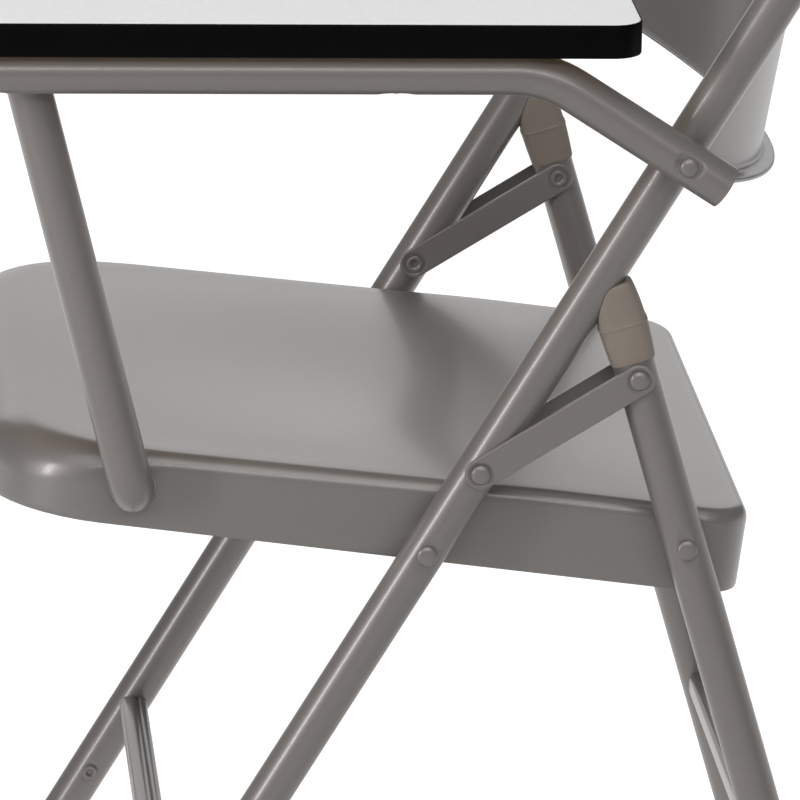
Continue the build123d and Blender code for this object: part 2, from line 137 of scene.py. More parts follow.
def two_tone(tree, value, first, second):
    """A colour between two, by a value from 0 to 1."""
    ramp = tree.nodes.new("ShaderNodeValToRGB")
    ramp.color_ramp.elements[0].color = (*first, 1)
    ramp.color_ramp.elements[1].color = (*second, 1)
    tree.links.new(value, ramp.inputs["Fac"])
    return ramp.outputs["Color"]


def mixed(tree, first, second, share):
    """Two colours blended in a fixed share."""
    node = tree.nodes.new("ShaderNodeMix")
    node.data_type = "RGBA"
    node.inputs["Factor"].default_value = share
    tree.links.new(first, node.inputs["A"])
    tree.links.new(second, node.inputs["B"])
    return node.outputs["Result"]


def bump(tree, layers, shader):
    """Stacks bumps, each (height, strength, distance)."""
    last = None
    for height, strength, distance in layers:
        node = tree.nodes.new("ShaderNodeBump")
        node.inputs["Strength"].default_value = strength
        node.inputs["Distance"].default_value = distance
        tree.links.new(height, node.inputs["Height"])
        if last is not None:
            tree.links.new(last.outputs["Normal"], node.inputs["Normal"])
        last = node
    tree.links.new(last.outputs["Normal"], shader.inputs["Normal"])


def painted_steel(name, light, dark, gloss):
    """Powder-coated steel: fine grain, orange peel and a painted highlight on sharp edges."""
    made, tree, shader = new_material(name)
    cloud = noise(tree, 7, 2)
    speck = noise(tree, 2600, 2)
    base = two_tone(tree, spread(tree, cloud, 0.3, 0.7, 0.35, 0.65), dark, light)
    deeper = [c * 0.93 for c in dark]
    paler = [c * 1.06 for c in light]
    fleck = two_tone(tree, spread(tree, speck, 0.35, 0.65, 0, 1), deeper, paler)
    grain = mixed(tree, base, fleck, 0.45)
    # Painted highlight: sharp convex edges are lightened, up to half way towards 1.35 times the light tone, as if
    # catching the light.
    edge = tree.nodes.new("ShaderNodeNewGeometry")
    edge_glint_mask = spread(tree, edge.outputs["Pointiness"], 0.56, 0.68, 0, 0.5)
    edge_glint = tree.nodes.new("ShaderNodeMix")
    edge_glint.data_type = "RGBA"
    edge_glint.inputs["B"].default_value = (*[c * 1.35 for c in light], 1)
    tree.links.new(edge_glint_mask, edge_glint.inputs["Factor"])
    tree.links.new(grain, edge_glint.inputs["A"])
    tree.links.new(edge_glint.outputs["Result"], shader.inputs["Base Color"])
    sheen = spread(tree, noise(tree, 900, 2), 0.3, 0.7, gloss - 0.03, gloss + 0.03)
    tree.links.new(sheen, shader.inputs["Roughness"])
    shader.inputs["Metallic"].default_value = 0.3
    shader.inputs["Specular IOR Level"].default_value = 0.6
    shader.inputs["Coat Weight"].default_value = 0.35
    shader.inputs["Coat Roughness"].default_value = 0.16
    bump(tree, [(noise(tree, 420, 2), 0.05, 0.0003), (speck, 0.10, 0.00006)], shader)
    return made


def moulded_plastic(name, light, dark, rough, shine=0.35):
    """Moulded plastic with a fine spark-eroded texture and soft mottling."""
    made, tree, shader = new_material(name)
    cloud = noise(tree, 55, 4)
    grain = noise(tree, 3200, 2)
    base = two_tone(tree, cloud, dark, light)
    tree.links.new(base, shader.inputs["Base Color"])
    tree.links.new(spread(tree, grain, 0.3, 0.7, rough - 0.05, rough + 0.08), shader.inputs["Roughness"])
    shader.inputs["Specular IOR Level"].default_value = shine
    bump(tree, [(grain, 0.18, 0.00008), (noise(tree, 300, 2), 0.06, 0.0003)], shader)
    return made


def laminate(name):
    """Pale grey laminate with a faint pebble and sparse flecks."""
    made, tree, shader = new_material(name)
    fleck = noise(tree, 900, 3)
    base = two_tone(tree, spread(tree, fleck, 0.42, 0.6, 0, 1), (0.70, 0.70, 0.715), (0.80, 0.80, 0.81))
    cloud = two_tone(tree, noise(tree, 9, 2), (0.72, 0.72, 0.73), (0.79, 0.79, 0.80))
    tree.links.new(mixed(tree, base, cloud, 0.5), shader.inputs["Base Color"])
    tree.links.new(spread(tree, noise(tree, 300, 3), 0.3, 0.7, 0.3, 0.42), shader.inputs["Roughness"])
    bump(tree, [(noise(tree, 1500, 2), 0.12, 0.00008)], shader)
    return made


def particle_board(name):
    """Pressed wood chips, raw on the underside."""
    made, tree, shader = new_material(name)
    coords = tree.nodes.new("ShaderNodeTexCoord")
    chips = tree.nodes.new("ShaderNodeTexVoronoi")
    chips.inputs["Scale"].default_value = 420
    tree.links.new(coords.outputs["Object"], chips.inputs["Vector"])
    chip_tone = two_tone(tree, chips.outputs["Distance"], (0.47, 0.33, 0.19), (0.62, 0.47, 0.30))
    cloud = two_tone(tree, noise(tree, 180, 5, stretch=(1, 3, 1)), (0.36, 0.24, 0.13), (0.66, 0.52, 0.34))
    tree.links.new(mixed(tree, chip_tone, cloud, 0.5), shader.inputs["Base Color"])
    shader.inputs["Roughness"].default_value = 0.82
    bump(tree, [(chips.outputs["Distance"], 0.3, 0.0003), (noise(tree, 900, 3), 0.3, 0.0002)], shader)
    return made


def plated_steel(name):
    """Zinc plate: cloudy tone, fine turning lines."""
    made, tree, shader = new_material(name)
    base = two_tone(tree, noise(tree, 160, 4), (0.42, 0.42, 0.40), (0.60, 0.60, 0.57))
    tree.links.new(base, shader.inputs["Base Color"])
    shader.inputs["Metallic"].default_value = 1.0
    tree.links.new(spread(tree, noise(tree, 700, 3), 0.3, 0.7, 0.28, 0.5), shader.inputs["Roughness"])
    bump(tree, [(noise(tree, 1800, 2), 0.2, 0.00006)], shader)
    return made


paint = painted_steel("painted_steel", (0.212, 0.194, 0.182), (0.187, 0.171, 0.160), 0.40)
seat_paint = painted_steel("painted_steel_pan", (0.212, 0.198, 0.186), (0.190, 0.176, 0.165), 0.41)
# Painted shade: the backrest uses a copy of the frame's steel about 15% darker, so that it looks shaded under
# these lamps; the real paint is the same.
shaded_back_paint = painted_steel("painted_steel_back_shaded", (0.178, 0.164, 0.156), (0.157, 0.145, 0.138), 0.44)
cap_plastic = moulded_plastic("taupe_plastic", (0.236, 0.202, 0.168), (0.196, 0.168, 0.139), 0.52)
foot_plastic = moulded_plastic("foot_plastic", (0.205, 0.182, 0.160), (0.160, 0.140, 0.122), 0.6)
nylon = moulded_plastic("nylon", (0.62, 0.61, 0.56), (0.52, 0.51, 0.46), 0.5)
edge_black = moulded_plastic("black_edge", (0.0030, 0.0029, 0.0029), (0.0014, 0.0013, 0.0013), 0.42, 0.04)
top_skin = laminate("laminate")
chipboard = particle_board("particle_board")
zinc = plated_steel("zinc_steel")

finish_of = {
    "painted_steel": paint,
    "taupe_plastic": cap_plastic,
    "nylon": nylon,
    "particle_board": chipboard,
    "laminate": top_skin,
    "black_edge": edge_black,
    "zinc_steel": zinc,
}


def dress(piece, material):
    """Gives a CAD node its finish."""
    piece.data.materials.clear()
    piece.data.materials.append(material)


for entry in frame["record"]["subparts"]:
    node = nodes[entry["node"]]
    dress(node, finish_of[entry["material_slot"]])
for name in ("foot_cap_front_left", "foot_cap_front_right", "foot_cap_rear_left", "foot_cap_rear_right"):
    dress(nodes[name], foot_plastic)
dress(nodes["seat_pan"], seat_paint)


# ---- mesh helpers ----
def in_scene(name, data):
    """A new object that holds this data, linked to the scene."""
    made = bpy.data.objects.new(name, data)
    bpy.context.scene.collection.objects.link(made)
    return made


def joined_rings(count, around, closed=False):
    """Faces between neighbouring rings of vertices, and from the last to the first if closed."""
    faces = []
    for i in range(count if closed else count - 1):
        here = i * around
        beyond = (i + 1) % count * around
        for k in range(around):
            n = (k + 1) % around
            faces.append((here + k, here + n, beyond + n, beyond + k))
    return faces


def end_caps(count, around):
    """The two faces that close the first and the last ring."""
    return [tuple(reversed(range(around))), tuple(range((count - 1) * around, count * around))]


def finish_mesh(name, verts, faces, material, body, replaced=(), sharp=38):
    """A mesh object that rides on a body and stands for CAD nodes."""
    mesh = bpy.data.meshes.new(name)
    mesh.from_pydata([tuple(v) for v in verts], [], faces)
    work = bmesh.new()
    work.from_mesh(mesh)
    bmesh.ops.remove_doubles(work, verts=work.verts, dist=0.5e-6)
    bmesh.ops.recalc_face_normals(work, faces=work.faces)
    work.to_mesh(mesh)
    work.free()
    mesh.shade_smooth()
    mesh.set_sharp_from_angle(angle=math.radians(sharp))
    piece = in_scene(name, mesh)
    mesh.materials.append(material)
    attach(piece, body)
    if replaced:
        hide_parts(*replaced)
    return piece


def smoothstep(low, high, value):
    """0 below the low value, 1 above the high one, and a smooth rise between."""
    t = min(1.0, max(0.0, (value - low) / (high - low)))
    return t * t * (3 - 2 * t)


def rounded_path(points, radius, step=4.0):
    """Corner points joined by straight runs and arcs."""
    path = [points[0]]
    for before, corner, after in zip(points, points[1:], points[2:]):
        a = (before - corner).normalized()
        b = (after - corner).normalized()
        half = a.angle(b) / 2
        centre = corner + (a + b).normalized() * radius / math.sin(half)
        start = corner + a * radius / math.tan(half) - centre
        end = corner + b * radius / math.tan(half) - centre
        turn = start.angle(end)
        axis = start.cross(end).normalized()
        count = max(6, round(math.degrees(turn) / step))
        for i in range(count + 1):
            path.append(centre + Matrix.Rotation(turn * i / count, 3, axis) @ start)
    path.append(points[-1])
    return path


def even_stations(path, spots, coarse=9.0, fine=1.1, reach=15.0):
    """The path with more stations close to each spot, in metres."""
    made = [path[0]]
    for a, b in zip(path, path[1:]):
        length = (b - a).length
        walked = 0.0
        while True:
            here = a.lerp(b, walked / length)
            near = min([(here - s).length for s in spots] or [1e3])
            stride = fine if near < reach * MM else min(coarse, max(fine, (near / MM - reach) * 0.6 + fine))
            walked += stride * MM
            if walked >= length - 0.4 * MM:
                break
            made.append(a.lerp(b, walked / length))
        made.append(b)
    return made


def tube(name, points, bend, radius, dents, body, replaced, around=64):
    """A bent tube with both walls and open ends.

    A dent is (spot, outward, flat radius, blend radius, depth), the last three in millimetres.
    """
    path = even_stations(rounded_path(points, bend), [d[0] for d in dents])
    tangents = [(b - a).normalized() for a, b in zip(path, path[1:])]
    tangents = [tangents[0]] + [(a + b).normalized() for a, b in zip(tangents, tangents[1:])] + [tangents[-1]]
    up = tangents[0].orthogonal().normalized()
    verts, inner = [], []
    for i, (spot, along) in enumerate(zip(path, tangents)):
        up = (up - along * up.dot(along)).normalized()
        aside = along.cross(up)
        for k in range(around):
            turn = 2 * math.pi * k / around
            out = up * math.cos(turn) + aside * math.sin(turn)
            point = spot + out * radius
            shift = Vector((0, 0, 0))
            for centre, outward, flat, blend, depth in dents:
                away = point - centre
                height = away.dot(outward)
                if height <= 0 or away.length > 0.03:
                    continue
                ring = (away - outward * height).length / MM
                weight = 1 - smoothstep(flat, blend, ring)
                limit = radius - depth * MM
                if height > limit:
                    shift = shift - outward * (height - limit) * weight
            verts.append(point + shift)
            inner.append(spot + out * (radius - WALL) + shift)
    rings = len(path)
    faces = []
    offset = len(verts)
    verts += inner
    for i in range(rings - 1):
        for k in range(around):
            n = (k + 1) % around
            a, b, c, d = i * around + k, i * around + n, (i + 1) * around + n, (i + 1) * around + k
            faces.append((a, b, c, d))
            faces.append((offset + a, offset + d, offset + c, offset + b))
    for i in (0, rings - 1):
        for k in range(around):
            n = (k + 1) % around
            a, b = i * around + k, i * around + n
            faces.append((a, b, offset + b, offset + a))
    return finish_mesh(name, verts, faces, paint, body, replaced)


def lathe(name, spot, side, profile, material, body, replaced, around=48):
    """A turned piece round a crosswise axis.

    The profile is (station across the chair, radius), in millimetres.
    """
    verts = []
    for x, r in profile:
        for k in range(around):
            turn = 2 * math.pi * k / around
            verts.append(place(side * x, spot[0] + r * math.cos(turn), spot[1] + r * math.sin(turn)))
    faces = joined_rings(len(profile), around)
    return finish_mesh(name, verts, faces, material, body, replaced, sharp=50)


# ---- tubes ----
LEFTWARD = Vector((1, 0, 0))
FRONT_LEG_UP = Vector((0, math.cos(FRONT_SLOPE), math.sin(FRONT_SLOPE)))
foot_run = -(HINGE_UP - 9) / math.sin(FRONT_SLOPE)
frame_corners = [
    place(-LEG_X, *on_front(foot_run)),
    place(-LEG_X, *on_front(FRAME_TOP_RUN)),
    place(LEG_X, *on_front(FRAME_TOP_RUN)),
    place(LEG_X, *on_front(foot_run)),
]
frame_dents = [(place(LEG_X, *ARM_PIVOT), LEFTWARD, 5.8, 10.0, 0.9)]
for side, _ in SIDES:
    frame_dents.append((place(side * LEG_X, 0, 0), LEFTWARD * side, 5.6, 11.5, 1.0))
    frame_dents.append((place(side * LEG_X, 0, 0), -LEFTWARD * side, 5.6, 11.0, 0.8))
    frame_dents.append((place(side * LEG_X, *on_front(BRACE_RIVET_RUN)), -LEFTWARD * side, 4.6, 8.0, 0.6))
tube("front_tube", frame_corners, BOW_RADIUS * MM, TUBE_R, frame_dents, "front_frame", ["front_frame"])

leg_end = -(HINGE_UP - 6) / math.sin(REAR_SLOPE)
for side, word in SIDES:
    dents = [(place(side * LEG_X, *REAR_PIVOT), LEFTWARD * side * way, 5.8, 11.0, 0.9) for way in (1, -1)]
    ends = [place(side * LEG_X, *on_rear(leg_end)), place(side * LEG_X, *on_rear(105))]
    tube(f"rear_leg_tube_{word}", ends, 0, TUBE_R, dents, "rear_legs", [f"rear_leg_{word}"])

drop = math.radians(33.8)
slope, fall = math.tan(ARM_TILT), math.tan(drop)
bend_back = (ARM_PIVOT[0] * fall + ARM_PIVOT[1] - ARM_UP) / (fall - slope)
arm_corners = [
    place(ARM_X, ARM_PIVOT[0] + 24 * math.cos(drop), ARM_PIVOT[1] - 24 * math.sin(drop)),
    place(ARM_X, bend_back, ARM_UP - slope * bend_back),
    place(ARM_X, -262, ARM_UP + slope * 262),
]
DOWN = Vector((0, -math.sin(ARM_TILT), -math.cos(ARM_TILT)))


def on_arm(station):
    """Back and height of a place on the arm's straight run."""
    return (station * math.cos(ARM_TILT), ARM_UP - station * math.sin(ARM_TILT))


arm_dents = [(place(ARM_X, *on_arm(station)), DOWN, 4.0, 10.5, 1.7) for station in SCREW_STATIONS]
arm_dents.append((place(ARM_X, *ARM_PIVOT), LEFTWARD, 6.0, 8.6, 1.5))
arm_dents.append((place(ARM_X, *ARM_PIVOT), -LEFTWARD, 6.0, 9.5, 1.0))
tube("arm_bent_tube", arm_corners, 62 * MM, ARM_R, arm_dents, "tablet_arm", ["arm_tube"])

lean = math.atan2(-206.0 + 151.5, 264.0 - 32.5)
POST_UP = Vector((0, math.sin(lean), math.cos(lean)))
post_corner = place(214.2, *POST_FOOT)
post_corners = [place(194.3, *POST_FOOT), post_corner, post_corner + POST_UP * 226 * MM]
post_dent = (post_corner, LEFTWARD, 4.5, 9.5, 0.9)
tube("post_bent_tube", post_corners, 14.5 * MM, ARM_R, [post_dent], "post", ["post_tube"])

# ---- rivets: a domed head outside, a rolled hollow tail inside ----
DOME = [(2.2, 0.0), (2.17, 1.6), (2.05, 2.9), (1.8, 3.9), (1.4, 4.7), (0.85, 5.2), (0.3, 5.4), (0.0, 5.25)]


def dome(x, size=1.0, sink=0.0):
    """A domed head standing out from a station across the chair."""
    return [(x + (h - sink), r * size) for h, r in DOME]


def rolled_tail(x):
    """The tail's rolled rim and its hollow, ending on the axis."""
    rim = [(0, 3.2), (0, 4.2), (-0.35, 4.7), (-0.9, 4.6), (-1.2, 4.0), (-1.15, 3.0)]
    hollow = [(-0.6, 2.2), (0.4, 1.8), (1.8, 1.7), (1.8, 0.0)]
    return [(x + step, r) for step, r in rim + hollow]


def rivet(name, spot, side, profile, body, replaced):
    """A painted rivet, or part of one."""
    lathe(name, spot, side, profile, paint, body, replaced)


for side, word in SIDES:
    for label, spot, body in (("seat_hinge", (0, 0), "front_frame"), ("rear_hinge", REAR_PIVOT, "rear_legs")):
        profile = dome(225.1, sink=0.35) + [(224.4, 3.2)] + rolled_tail(197.0)
        rivet(f"{label}_pin_{word}", spot, side, profile, body, [f"{label}_rivet_{word}"])
    profile = dome(227.5, 0.96) + [(227.2, 3.2)] + rolled_tail(200.4)
    rivet(f"link_low_pin_{word}", LINK_LOW, side, profile, "front_frame", [f"link_lower_rivet_{word}"])
    profile = dome(227.3, 0.96) + [(227.2, 3.2), (225.5, 3.2), (225.5, 0)]
    rivet(f"link_high_pin_{word}", LINK_HIGH, side, profile, "links", [f"link_upper_rivet_{word}"])
    tail = [(202.5, 0), (202.5, 3.2)] + rolled_tail(200.6)
    rivet(f"link_high_tail_{word}", LINK_HIGH, side, tail, "links", [])
profile = dome(249.5, 0.89, sink=0.9) + [(249.2, 3.2), (LEG_X, 3.2), (LEG_X, 0)]
rivet("arm_pin", ARM_PIVOT, 1, profile, "front_frame", ["arm_pivot_rivet"])
for side, word in SIDES:
    rim = [(204.6, 0), (204.6, 2.6), (203.0, 2.6), (202.9, 3.6), (202.5, 4.2), (202.0, 4.1)]
    hollow = [(201.7, 3.4), (201.8, 2.5), (202.4, 1.9), (203.8, 1.6), (203.8, 0)]
    stands_for = ["front_leg_rivets"] if side > 0 else []
    rivet(f"leg_rivet_{word}", on_front(BRACE_RIVET_RUN), side, rim + hollow, "front_frame", stands_for)


def screws(stations):
    """Painted-over screws whose low heads sit in the dimples under the arm."""
    head = [(11.05, 0.0), (11.0, 1.2), (10.8, 2.2), (10.4, 2.85), (9.7, 3.0)]
    shank = [(9.7, 2.0), (-24.0, 2.0), (-24.6, 0.0)]
    profile = head + shank
    around = 32
    verts, faces = [], []
    for station in stations:
        first = len(verts)
        for down, r in profile:
            for k in range(around):
                turn = 2 * math.pi * k / around
                aside = LEFTWARD * math.cos(turn) + DOWN.cross(LEFTWARD) * math.sin(turn)
                verts.append(place(ARM_X, *on_arm(station)) + (DOWN * down + aside * r) * MM)
        for i in range(len(profile) - 1):
            for k in range(around):
                n = (k + 1) % around
                a, b = first + i * around, first + (i + 1) * around
                faces.append((a + k, a + n, b + n, b + k))
    finish_mesh("arm_screws", verts, faces, paint, "tablet_arm", ["tablet_screws"], sharp=50)


screws(SCREW_STATIONS)

# ---- link plates: flat bars with rounded ends, coined round their rivets ----
def link_bar(name, near_x, far_x, replaced):
    """A slot-shaped plate whose outer face is softly rounded and dished at both rivets."""
    low, high = Vector(LINK_LOW), Vector(LINK_HIGH)
    along = (high - low).normalized()
    across = Vector((-along.y, along.x))
    length = (high - low).length
    half = 8.25
    steps = [0, 1, 2, 3, 3.6, 4.2, 4.8, 5.4, 6.0, 6.6, 7.1, 7.5, 7.8, 8.0, 8.15, 8.25]
    thick = abs(far_x - near_x)
    way = 1 if far_x > near_x else -1
    verts, faces = [], []

    def add(p):
        """One vertex of the outer face, let down at the rim and round the rivets."""
        ring = min((p - low).length, (p - high).length)
        if 0 < (p - low).dot(along) < length:
            edge = half - min(abs((p - low).dot(across)), half)
        else:
            edge = half - ring
        edge = max(0.0, edge)
        fall = 0.0 if edge > 0.8 else 0.8 - math.sqrt(max(0.0, 0.64 - (0.8 - edge) ** 2))
        dish = 0.55 * (1 - smoothstep(5.3, 7.2, ring))
        bow = 0.12 * smoothstep(10, 30, ring) * (1 - (abs((p - low).dot(across)) / half) ** 2)
        verts.append(place(near_x + way * (thick - 0.12 + bow - fall - dish), p.x, p.y))

    columns = []
    turns = [math.radians(90 + 180 * i / 28) for i in range(29)]
    for t in turns:
        columns.append([low + (along * math.cos(t) + across * math.sin(t)) * r for r in steps])
    grid = []
    for c in columns:
        grid.append([len(verts) + i for i in range(len(c))])
        for p in c:
            add(p)
    other = []
    for t in turns:
        c = [high + (along * -math.cos(t) - across * math.sin(t)) * r for r in steps]
        other.append([len(verts) + i for i in range(len(c))])
        for p in c:
            add(p)
    for g in (grid, other):
        for i in range(len(g) - 1):
            for k in range(len(steps) - 1):
                faces.append((g[i][k], g[i + 1][k], g[i + 1][k + 1], g[i][k + 1]))
    runs = [0, 2, 4, 5, 5.6, 6.2, 6.8, 7.4, 8.2, 10, 14, 20, 28]
    runs = runs + [length / 2] + [length - r for r in reversed(runs)]
    levels = [-v for v in reversed(steps[1:])] + steps
    rows = []
    for r in runs:
        rows.append([len(verts) + i for i in range(len(levels))])
        for v in levels:
            add(low + along * r + across * v)
    for i in range(len(rows) - 1):
        for k in range(len(levels) - 1):
            faces.append((rows[i][k], rows[i][k + 1], rows[i + 1][k + 1], rows[i + 1][k]))
    mesh = bpy.data.meshes.new(name)
    mesh.from_pydata([tuple(v) for v in verts], [], faces)
    work = bmesh.new()
    work.from_mesh(mesh)
    bmesh.ops.remove_doubles(work, verts=work.verts, dist=2e-6)
    made = bmesh.ops.extrude_face_region(work, geom=work.faces[:])
    flat = place(near_x, 0, 0).x
    for v in [g for g in made["geom"] if isinstance(g, bmesh.types.BMVert)]:
        v.co.x = flat
    work.verts.index_update()
    all_verts = [v.co.copy() for v in work.verts]
    all_faces = [[v.index for v in f.verts] for f in work.faces]
    work.free()
    bpy.data.meshes.remove(mesh)
    return finish_mesh(name, all_verts, all_faces, paint, "links", replaced, sharp=50)


for side, word in SIDES:
    link_bar(f"link_bar_outer_{word}", side * 225.4, side * 227.4, [f"link_plate_outer_{word}"])
    link_bar(f"link_bar_inner_{word}", side * 202.6, side * 200.6, [f"link_plate_inner_{word}"])

# ---- seat: a pressed pan with a rolled shoulder that grows to the front ----
SEAT_IN = Vector((0, math.cos(SEAT_TILT), -math.sin(SEAT_TILT)))
SEAT_UP = Vector((0, math.sin(SEAT_TILT), math.cos(SEAT_TILT)))


def on_seat(x, along, height):
    """A point by its place across and along the sloping seat and its height above it."""
    return HINGE + (Vector((x, 0, 0)) + SEAT_IN * along + SEAT_UP * height) * MM


def seat_edge(count=9):
    """Points round the seat's plan with their outward directions, in millimetres."""
    made = []
    corners = ((1, 1, 26), (-1, 1, 26), (-1, -1, 62), (1, -1, 62))
    for sx, sy, r in corners:
        cx = sx * (198.5 - r)
        cy = (171 - r) if sy > 0 else (-230 + r)
        start = {(1, 1): 0, (-1, 1): 90, (-1, -1): 180, (1, -1): 270}[(sx, sy)]
        for i in range(count + 1):
            t = math.radians(start + 90 * i / count)
            out = Vector((math.cos(t), math.sin(t)))
            made.append((Vector((cx, cy)) + out * r, out))
    filled = []
    for (p, n), (q, m) in zip(made, made[1:] + made[:1]):
        steps = max(1, round((q - p).length / 9))
        for i in range(steps):
            w = i / steps
            filled.append((p.lerp(q, w), (n.lerp(m, w)).normalized()))
    return filled


def shoulder(along):
    """Radius of the rolled shoulder at a place along the seat."""
    return 7.5 + 1.2 * (1 - smoothstep(-130, 60, along)) + 14 * (1 - smoothstep(-218, -135, along))


def seat_height(x, along):
    """Height of the seat's top: dished where one sits, falling away to the front."""
    ahead = max(0.0, 75 - along)
    front = 0.018 * ahead * smoothstep(0, 60, ahead)
    dish = 5.0 * (math.cos(min(1.0, math.hypot(x / 172, (along + 10) / 178)) * math.pi) + 1) / 2
    return 34.4 - front - dish


def seat_pan():
    """The pressed pan, from its turned-in hem up over the shoulder to the middle."""
    edge = seat_edge()
    arc = 8
    skirt_low = -9.2
    rings = []
    for inset, height in ((5.0, -8.6), (5.0, -9.9), (1.6, -10.4), (0.4, -10.1), (0.0, skirt_low)):
        rings.append([on_seat(p.x - n.x * inset, p.y - n.y * inset, height) for p, n in edge])
    for share in (0.15, 0.35, 0.6, 0.85):
        ring = []
        for p, n in edge:
            rise = seat_height(p.x, p.y) - shoulder(p.y) - skirt_low
            ring.append(on_seat(p.x, p.y, skirt_low + share * rise))
        rings.append(ring)
    for i in range(arc + 1):
        t = math.radians(90 * i / arc)
        ring = []
        for p, n in edge:
            r = shoulder(p.y)
            inset = r * (1 - math.cos(t))
            q = p - n * inset
            ring.append(on_seat(q.x, q.y, seat_height(p.x, p.y) - r + r * math.sin(t)))
        rings.append(ring)
    middle = Vector((0, -20))
    for i in range(1, 30):
        share = (i / 30) ** 0.9
        ring = []
        for p, n in edge:
            r = shoulder(p.y)
            q = (p - n * r).lerp(middle, share)
            blend = smoothstep(0, 0.25, share)
            height = seat_height(p.x, p.y) * (1 - blend) + seat_height(q.x, q.y) * blend
            ring.append(on_seat(q.x, q.y, height))
        rings.append(ring)
    verts = [v for ring in rings for v in ring]
    count = len(edge)
    faces = joined_rings(len(rings), count)
    verts.append(on_seat(middle.x, middle.y, seat_height(middle.x, middle.y)))
    last = (len(rings) - 1) * count
    for k in range(count):
        faces.append((last + k, last + (k + 1) % count, len(verts) - 1))
    sheet = loose_piece("seat_pressing", verts, faces)
    thicken = sheet.modifiers.new("sheet", "SOLIDIFY")
    thicken.thickness = 1.2 * MM
    thicken.offset = -1
    cutter = hole_cutter(place(185, *POST_FOOT), place(215, *POST_FOOT), 12.25 * MM)
    cut_away(sheet, cutter, "hole")
    made = settled(sheet)
    bpy.data.objects.remove(cutter)
    return made


def hole_cutter(start, end, radius, around=72):
    """A closed drum between two points, to cut with."""
    along = (end - start).normalized()
    up = along.orthogonal().normalized()
    aside = along.cross(up)
    verts = []
    for spot in (start, end):
        for k in range(around):
            t = 2 * math.pi * k / around
            verts.append(spot + (up * math.cos(t) + aside * math.sin(t)) * radius)
    return loose_piece("cutter", verts, joined_rings(2, around) + end_caps(2, around))


def cut_away(piece, cutter, label):
    """Takes the cutter's shape out of a piece, with a modifier."""
    cut = piece.modifiers.new(label, "BOOLEAN")
    cut.operation = "DIFFERENCE"
    cut.solver = "EXACT"
    cut.object = cutter


def loose_piece(name, verts, faces):
    """A plain mesh object with its faces turned outward, not yet in the frame."""
    mesh = bpy.data.meshes.new(name)
    mesh.from_pydata([tuple(v) for v in verts], [], faces)
    work = bmesh.new()
    work.from_mesh(mesh)
    bmesh.ops.recalc_face_normals(work, faces=work.faces)
    work.to_mesh(mesh)
    work.free()
    piece = in_scene(name, mesh)
    return piece


def settled(piece):
    """Replaces a piece's mesh by what its modifiers make."""
    bpy.context.view_layer.update()
    graph = bpy.context.evaluated_depsgraph_get()
    mesh = bpy.data.meshes.new_from_object(piece.evaluated_get(graph))
    piece.modifiers.clear()
    piece.data = mesh
    return piece


def adopt(piece, material, body, replaced, sharp=38):
    """Gives a settled piece its material and its place in the frame."""
    mesh = piece.data
    mesh.materials.clear()
    mesh.materials.append(material)
    mesh.shade_smooth()
    mesh.set_sharp_from_angle(angle=math.radians(sharp))
    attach(piece, body)
    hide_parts(*replaced)
    return piece


seat = seat_pan()
adopt(seat, seat_paint, "seat", ["seat_pan"])

# ---- rear leg caps: barrel-shaped plastic saddles ----
REAR_LEG_UP = Vector((0, -math.cos(REAR_SLOPE), math.sin(REAR_SLOPE)))
LEG_BACK = Vector((0, math.sin(REAR_SLOPE), math.cos(REAR_SLOPE)))
TUBE_FORE = Vector((0, -math.sin(FRONT_SLOPE), math.cos(FRONT_SLOPE)))


def leg_cap(side, word):
    """A saddle cap on top of one rear leg, scooped to the front tube."""
    foot = place(side * LEG_X, *on_rear(0))
    sections = [
        (104.95, -0.8, 10.2),
        (105.0, 0.0, 10.7),
        (105.3, 0.45, 10.95),
        (106.0, 0.65, 11.0),
        (110, 0.95, 11.0),
        (115, 1.3, 11.0),
        (120, 1.55, 11.0),
        (124.6, 1.7, 10.95),
        (124.9, 1.95, 11.15),
        (125.7, 1.95, 11.15),
        (126.0, 1.55, 10.8),
        (131, 1.3, 10.75),
        (136, 0.95, 10.7),
        (141, 0.4, 10.6),
        (145, -0.2, 10.5),
        (146.6, -0.7, 10.3),
        (147.5, -1.6, 9.9),
        (147.95, -3.0, 8.9),
    ]
    around = 64
    verts = []
    for run, swell, width in sections:
        depth = 11.3 + swell
        for k in range(around):
            t = 2 * math.pi * k / around
            c, s = math.cos(t), math.sin(t)
            x = width * math.copysign(abs(c) ** 0.45, c)
            y = depth * math.copysign(abs(s) ** 0.78, s)
            verts.append(foot + REAR_LEG_UP * run * MM + LEFTWARD * x * MM + LEG_BACK * y * MM)
    faces = joined_rings(len(sections), around) + end_caps(len(sections), around)
    piece = loose_piece(f"leg_cap_{word}", verts, faces)
    centre = place(side * LEG_X, 0, 0)
    profile = []
    scoop = 11.4
    for i in range(33):
        t = math.radians(-90 + 180 * i / 32)
        profile.append(LEFTWARD * math.sin(t) * scoop * MM - TUBE_FORE * math.cos(t) * scoop * MM)
    profile.append(LEFTWARD * scoop * MM + TUBE_FORE * 30 * MM)
    profile.append(-LEFTWARD * scoop * MM + TUBE_FORE * 30 * MM)
    count = len(profile)
    cut_verts = [centre + FRONT_LEG_UP * run * MM + p for run in (60, 260) for p in profile]
    cutter = loose_piece("saddle", cut_verts, joined_rings(2, count) + end_caps(2, count))
    cut_away(piece, cutter, "saddle")
    soften = piece.modifiers.new("edges", "BEVEL")
    soften.width = 0.45 * MM
    soften.segments = 2
    soften.limit_method = "ANGLE"
    soften.angle_limit = math.radians(38)
    settled(piece)
    bpy.data.objects.remove(cutter)
    return adopt(piece, cap_plastic, "rear_legs", [f"rear_leg_cap_{word}"], sharp=30)


for side, word in SIDES:
    leg_cap(side, word)

